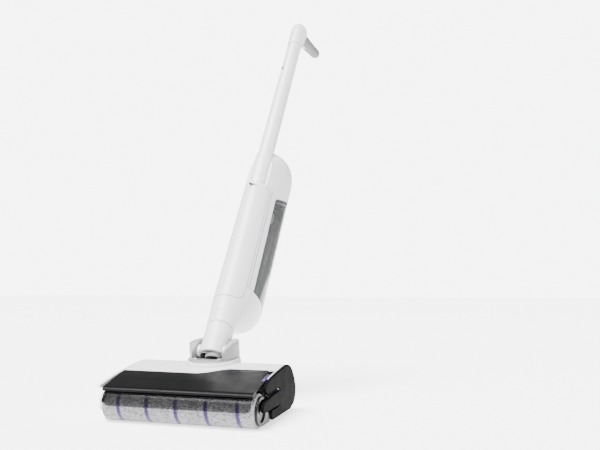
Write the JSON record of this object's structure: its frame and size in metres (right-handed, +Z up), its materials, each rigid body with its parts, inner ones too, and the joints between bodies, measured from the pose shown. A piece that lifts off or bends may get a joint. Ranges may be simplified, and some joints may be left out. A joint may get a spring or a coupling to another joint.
{
  "type": "wet dry floor scrubber",
  "caption": "Cordless upright wet dry floor scrubber leaning back in use, with a banded roller in a wide floor head, a swivel neck, a smoked dirty water tank and an angled grip.",
  "frame": {"origin": "on the floor, at the middle of the bottom face of the squeegee strip behind the roller", "axes": "+X to the machine's right, +Y to the back, the way the upright leans, +Z up"},
  "size_m": [0.2915, 0.892, 0.9267],
  "materials": {
    "white_plastic": "satin",
    "pale_grey_plastic": "satin",
    "grey_plastic": "matt",
    "dark_plastic": "satin",
    "black_gloss": "gloss",
    "purple_plastic": "gloss",
    "smoked_plastic": "clear smoked",
    "rubber": "matt",
    "microfibre": "short pile",
    "steel": "brushed",
    "motor_metal": "satin",
    "foam": "open foam",
    "circuit_board": "satin"
  },
  "bodies": {
    "head": {"head_base": "black_gloss", "head_top_cover": "white_plastic", "side_plate_left": "white_plastic", "side_plate_right": "dark_plastic", "arm_recess_trim": "purple_plastic", "squeegee_strip": "rubber", "roller_scraper": "grey_plastic", "wheel_axle_left": "steel", "wheel_axle_right": "steel", "brush_motor": "motor_metal", "suction_duct": "grey_plastic", "swivel_ring": "grey_plastic"},
    "roller_cover": {"roller_cover": "black_gloss", "visor_frame": "black_gloss", "splash_visor": "smoked_plastic"},
    "release_tab": {"cover_release_tab": "purple_plastic"},
    "cartridge": {"roller_end_plate": "black_gloss", "roller_pull_arm": "dark_plastic"},
    "roller": {"roller_core": "grey_plastic", "roller_cloth": "microfibre"},
    "drive_hub": {"drive_hub": "dark_plastic"},
    "wheel_left": {"rear_wheel_left": "rubber"},
    "wheel_right": {"rear_wheel_right": "rubber"},
    "yoke": {"swivel_yoke": "pale_grey_plastic"},
    "upright": {"neck": "white_plastic", "neck_duct": "grey_plastic", "water_line": "rubber", "pivot_pin_left": "steel", "pivot_pin_right": "steel", "lower_cap": "white_plastic", "front_shell": "white_plastic", "rear_housing": "white_plastic", "wand_tube": "white_plastic", "handle_head": "white_plastic", "grip_sleeve": "grey_plastic", "battery_pack": "dark_plastic", "control_board": "circuit_board", "clean_water_tank": "grey_plastic", "water_pump": "motor_metal", "suction_motor": "motor_metal", "motor_filter": "foam"},
    "tank": {"dirty_water_tank": "smoked_plastic", "tank_lid": "dark_plastic", "tank_standpipe": "grey_plastic", "tank_float": "white_plastic"},
    "tank_latch": {"tank_latch": "dark_plastic"},
    "trigger": {"grip_trigger": "pale_grey_plastic"},
    "power_button": {"power_button": "pale_grey_plastic"},
    "mode_button": {"mode_button": "pale_grey_plastic"},
    "lock_button": {"wand_lock_button": "dark_plastic"}
  },
  "joints": [
    {"name": "cover_lift", "type": "slide", "parent": "head", "child": "roller_cover", "axis": [0, 0, 1], "range_m": [0, 0.06]},
    {"name": "release_press", "type": "slide", "parent": "head", "child": "release_tab", "axis": [0, 0, -1], "range_m": [0, 0.002], "stiffness_N_per_m": 800},
    {"name": "cartridge_pull", "type": "slide", "parent": "head", "child": "cartridge", "axis": [1, 0, 0], "range_m": [0, 0.28]},
    {"name": "roller_spin", "type": "hinge", "parent": "cartridge", "child": "roller", "pos_m": [0, -0.04, 0.0275], "axis": [1, 0, 0], "continuous": true},
    {"name": "hub_spin", "type": "hinge", "parent": "head", "child": "drive_hub", "pos_m": [0, -0.04, 0.0275], "axis": [1, 0, 0], "continuous": true},
    {"name": "wheel_left_spin", "type": "hinge", "parent": "head", "child": "wheel_left", "pos_m": [-0.108, 0.084, 0.014], "axis": [1, 0, 0], "continuous": true},
    {"name": "wheel_right_spin", "type": "hinge", "parent": "head", "child": "wheel_right", "pos_m": [0.108, 0.084, 0.014], "axis": [1, 0, 0], "continuous": true},
    {"name": "steer", "type": "hinge", "parent": "head", "child": "yoke", "pos_m": [0, 0.092, 0.103], "axis": [0, -0.1392, 0.9903], "range_deg": [-50, 50]},
    {"name": "recline", "type": "hinge", "parent": "yoke", "child": "upright", "pos_m": [0, 0.092, 0.103], "axis": [1, 0, 0], "range_deg": [-18, 34.4]},
    {"name": "tank_pull", "type": "slide", "parent": "upright", "child": "tank", "axis": [0, 0.8251, -0.565], "range_m": [0, 0.13]},
    {"name": "latch_press", "type": "slide", "parent": "tank", "child": "tank_latch", "axis": [0, -0.8251, 0.565], "range_m": [0, 0.003], "stiffness_N_per_m": 800},
    {"name": "trigger_press", "type": "slide", "parent": "upright", "child": "trigger", "axis": [0, -0.0523, 0.9986], "range_m": [0, 0.003], "stiffness_N_per_m": 600},
    {"name": "power_press", "type": "slide", "parent": "upright", "child": "power_button", "axis": [0, 0.0523, -0.9986], "range_m": [0, 0.0015], "stiffness_N_per_m": 800},
    {"name": "mode_press", "type": "slide", "parent": "upright", "child": "mode_button", "axis": [0, 0.0523, -0.9986], "range_m": [0, 0.0015], "stiffness_N_per_m": 800},
    {"name": "lock_press", "type": "slide", "parent": "upright", "child": "lock_button", "axis": [0.5708, 0.6775, -0.4639], "range_m": [0, 0.002], "stiffness_N_per_m": 800}
  ],
  "couplings": [
    {"joint": "hub_spin", "follows": "roller_spin", "ratio": 1}
  ]
}
